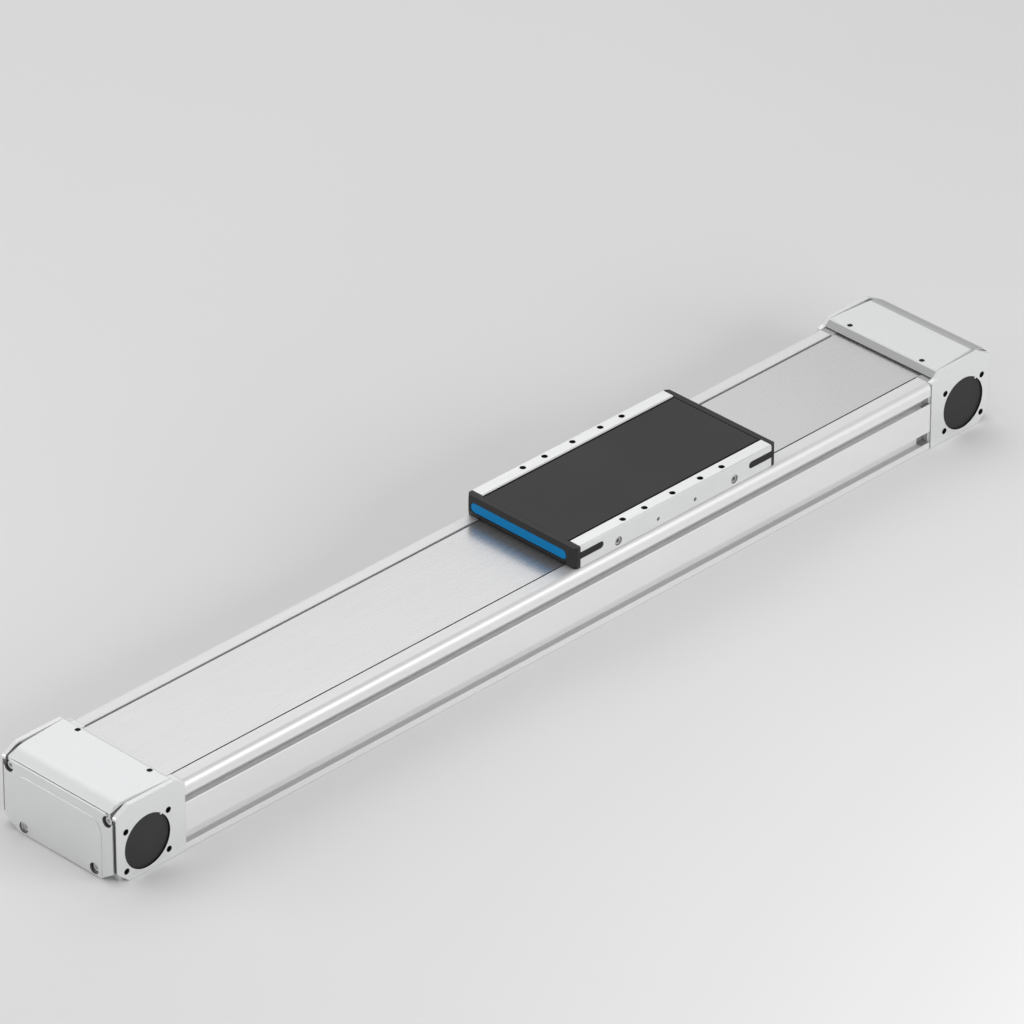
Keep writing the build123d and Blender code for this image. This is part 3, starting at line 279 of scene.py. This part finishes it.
# painted shade: pad threads, the seats of the cover discs and the round clamp recess on top are painted black as
# the shade inside them, all but the small lug over the disc
t = MAT["head"]
xyz = t.separate()
ax = t.maths("ABSOLUTE", xyz["X"])
ay = t.maths("ABSOLUTE", xyz["Y"])
threads = hole_mask(t, ax, xyz["Z"], [(0.575 + dx, 0.0342 + dz) for dx in (-0.02765, 0.02765)
                                      for dz in (-0.02235, 0.02235)], 0.0035)
seat = hole_mask(t, ax, xyz["Z"], [(0.575, 0.0342)], 0.02972)
lug = hole_mask(t, xyz["X"], xyz["Z"], [(-0.5566, 0.0568), (0.5934, 0.0568)], 0.0014)
seat = t.maths("MULTIPLY", seat, t.maths("SUBTRACT", 1.0, lug))
deep = t.maths("LESS_THAN", ay, 0.08018)
clamp = hole_mask(t, ax, ay, [(0.543, 0.0505)], 0.0031)
clamp = t.maths("MULTIPLY", clamp, t.within(xyz["Z"], 0.0790, 0.0858))
mask = t.maths("MAXIMUM", t.maths("MULTIPLY", deep, t.maths("MAXIMUM", threads, seat)), clamp)
# painted shadow: a fine dark line, painted on the near side only, as the shadow in the joint gap between the top
# and the side walls
line_y = t.maths("SUBTRACT", ay, 0.0752)
line = t.within(line_y, -0.0003, 0.00025)
line = t.maths("MULTIPLY", line, t.within(ax, 0.5385, 0.5935))
line = t.maths("MULTIPLY", line, t.maths("GREATER_THAN", xyz["Z"], 0.0818))
line = t.maths("MULTIPLY", line, t.maths("LESS_THAN", xyz["Y"], 0.0))
line = t.maths("MULTIPLY", line, 0.5)
darkened(t, t.maths("MAXIMUM", mask, line), color=(0.010, 0.010, 0.010))
# painted shade: the slopes of the idler head are painted darker and duller than its top, as the shade they lie in
slope_shade = t.maths("MULTIPLY", t.maths("GREATER_THAN", xyz["X"], 0.5950), t.maths("GREATER_THAN", xyz["Z"], 0.0745))
slope_shade = t.maths("MULTIPLY", slope_shade, t.maths("LESS_THAN", ay, 0.0715))
slope_shade = t.maths("MULTIPLY", slope_shade, 0.45)
# painted shade: the lip at the inner end of the idler head's top is painted darker as the shade on it
lip = t.maths("MULTIPLY", t.within(xyz["X"], 0.5100, 0.53795), t.maths("GREATER_THAN", xyz["Z"], 0.0776))
lip = t.maths("MULTIPLY", lip, t.maths("LESS_THAN", ay, 0.0752))
lip = t.maths("MULTIPLY", lip, 0.50)
darkened(t, t.maths("MAXIMUM", slope_shade, lip), color=(0.11, 0.11, 0.112), rough=0.5)
# painted shade: the screw recesses of the end plates are painted near black as the shade inside them
t = MAT["plate"]
xyz = t.separate()
ay = t.maths("ABSOLUTE", xyz["Y"])
wells = hole_mask(t, ay, xyz["Z"], [(0.0690, 0.0696), (0.0497, 0.0078)], 0.00632)
ax = t.maths("ABSOLUTE", xyz["X"])
wells = t.maths("MULTIPLY", wells, t.maths("LESS_THAN", ax, 0.61655))
darkened(t, t.maths("MULTIPLY", wells, 0.8), color=(0.05, 0.05, 0.05))

LOOK = {}
for n in nodes:
    LOOK[n] = "machined"
for n in ("profile",):
    LOOK[n] = "profile"
for n in ("drive_head_housing", "idler_head_housing"):
    LOOK[n] = "head"
for n in ("drive_end_plate", "idler_end_plate"):
    LOOK[n] = "plate"
LOOK["cover_strip"] = "strip"
for n in ("web_plate_near", "web_plate_far"):
    LOOK[n] = "web"
for n in ("side_bar_near", "side_bar_far"):
    LOOK[n] = "bar"
for n in ("guide_rail_near", "guide_rail_far", "runner_blocks", "drive_hub", "idler_hub"):
    LOOK[n] = "rail"
for n in ("bearing_outer_rings", "bearing_balls", "drive_bearing_inner_rings", "idler_bearing_inner_rings"):
    LOOK[n] = "bearing"
for n in ("rail_screws", "end_plate_screws", "head_bolts", "side_bar_screws", "retaining_rings", "web_screws",
          "runner_block_screws", "belt_clamp_screws"):
    LOOK[n] = "screw"
LOOK["end_plate_screws"] = "screw_bright"
LOOK["strip_clamp_screws"] = "screw_black"
for n in ("front_end_cap", "rear_end_cap"):
    LOOK[n] = "cap"
LOOK["cap_clips"] = "clip"
for n in ("drive_end_frame", "idler_end_frame", "runner_block_seals"):
    LOOK[n] = "frame"
LOOK["centre_cover"] = "cover"
for n in ("drive_cover_disc_near", "drive_cover_disc_far", "idler_cover_disc_near", "idler_cover_disc_far"):
    LOOK[n] = "disc"
for n in ("front_insert", "rear_insert"):
    LOOK[n] = "blue"
for n in ("toothed_belt", "end_buffers"):
    LOOK[n] = "rubber"
for n in ("front_wiper", "rear_wiper"):
    LOOK[n] = "wiper"

for n, o in nodes.items():
    o.data.materials.clear()
    o.data.materials.append(MAT[LOOK[n]].mat)

# ------------------------------------------------------------------ floor
floor_mesh = bpy.data.meshes.new("floor")
S = 14.0
floor_mesh.from_pydata([(-S, -S, -0.0004), (S, -S, -0.0004), (S, S, -0.0004), (-S, S, -0.0004)], [], [(0, 1, 2, 3)])
floor = bpy.data.objects.new("floor", floor_mesh)
bpy.context.scene.collection.objects.link(floor)
ft = Tree("floor_pale")
cloud = ft.noise(ft.coord, 1.3, detail=3.0)
ft.link(ft.mix(cloud, (0.80, 0.80, 0.80), (0.83, 0.83, 0.83)), ft.bsdf.inputs["Base Color"])
ft.bsdf.inputs["Roughness"].default_value = 0.8
ft.bsdf.inputs["Specular IOR Level"].default_value = 0.2
floor_mesh.materials.append(ft.mat)


# ------------------------------------------------------------------ light
def area(name, place, target, size, power, color=(1.0, 1.0, 1.0)):
    data = bpy.data.lights.new(name, "AREA")
    data.shape = "RECTANGLE"
    data.size, data.size_y = size
    data.energy = power
    data.color = color
    o = bpy.data.objects.new(name, data)
    o.location = place
    o.rotation_mode = "QUATERNION"
    o.rotation_quaternion = (Vector(target) - Vector(place)).to_track_quat("-Z", "Y")
    bpy.context.scene.collection.objects.link(o)
    return o


area("light_top", (0.5, 1.6, 2.1), (0, 0, 0), (3.0, 1.6), 12.5)
area("light_back", (1.9, 1.9, 1.7), (0, 0, 0), (3.4, 2.4), 10.0)
area("light_slope", (-0.8, 0.55, 0.95), (-0.6, 0, 0), (0.7, 0.7), 0.45)
area("light_side", (0.3, -2.0, 0.8), (0, 0, 0), (2.0, 1.0), 29.0)
area("light_end", (-1.7, 1.2, 0.55), (0, 0, 0), (1.6, 0.9), 11.5)

world = bpy.data.worlds.new("studio")
bpy.context.scene.world = world
world.use_nodes = True
bg = world.node_tree.nodes["Background"]
bg.inputs["Color"].default_value = (1.0, 1.0, 1.0, 1.0)
bg.inputs["Strength"].default_value = 0.47

# ------------------------------------------------------------------ camera, from the fit to the photo
cam_data = bpy.data.cameras.new("camera")
cam_data.sensor_width = 36.0
cam_data.lens = 317.18
cam_data.clip_start, cam_data.clip_end = 0.1, 60.0
cam_data.dof.use_dof = False
cam = bpy.data.objects.new("camera", cam_data)
cam.location = (-5.4052, -5.3863, 4.7974)
cam.rotation_euler = (math.radians(90.0 - 31.522), 0.0, math.radians(-45.087))
bpy.context.scene.collection.objects.link(cam)
bpy.context.scene.camera = cam

bpy.context.scene.view_settings.view_transform = "Standard"
bpy.context.scene.view_settings.look = "None"
bpy.context.scene.view_settings.exposure = 0.0
bpy.context.scene.view_settings.gamma = 1.0
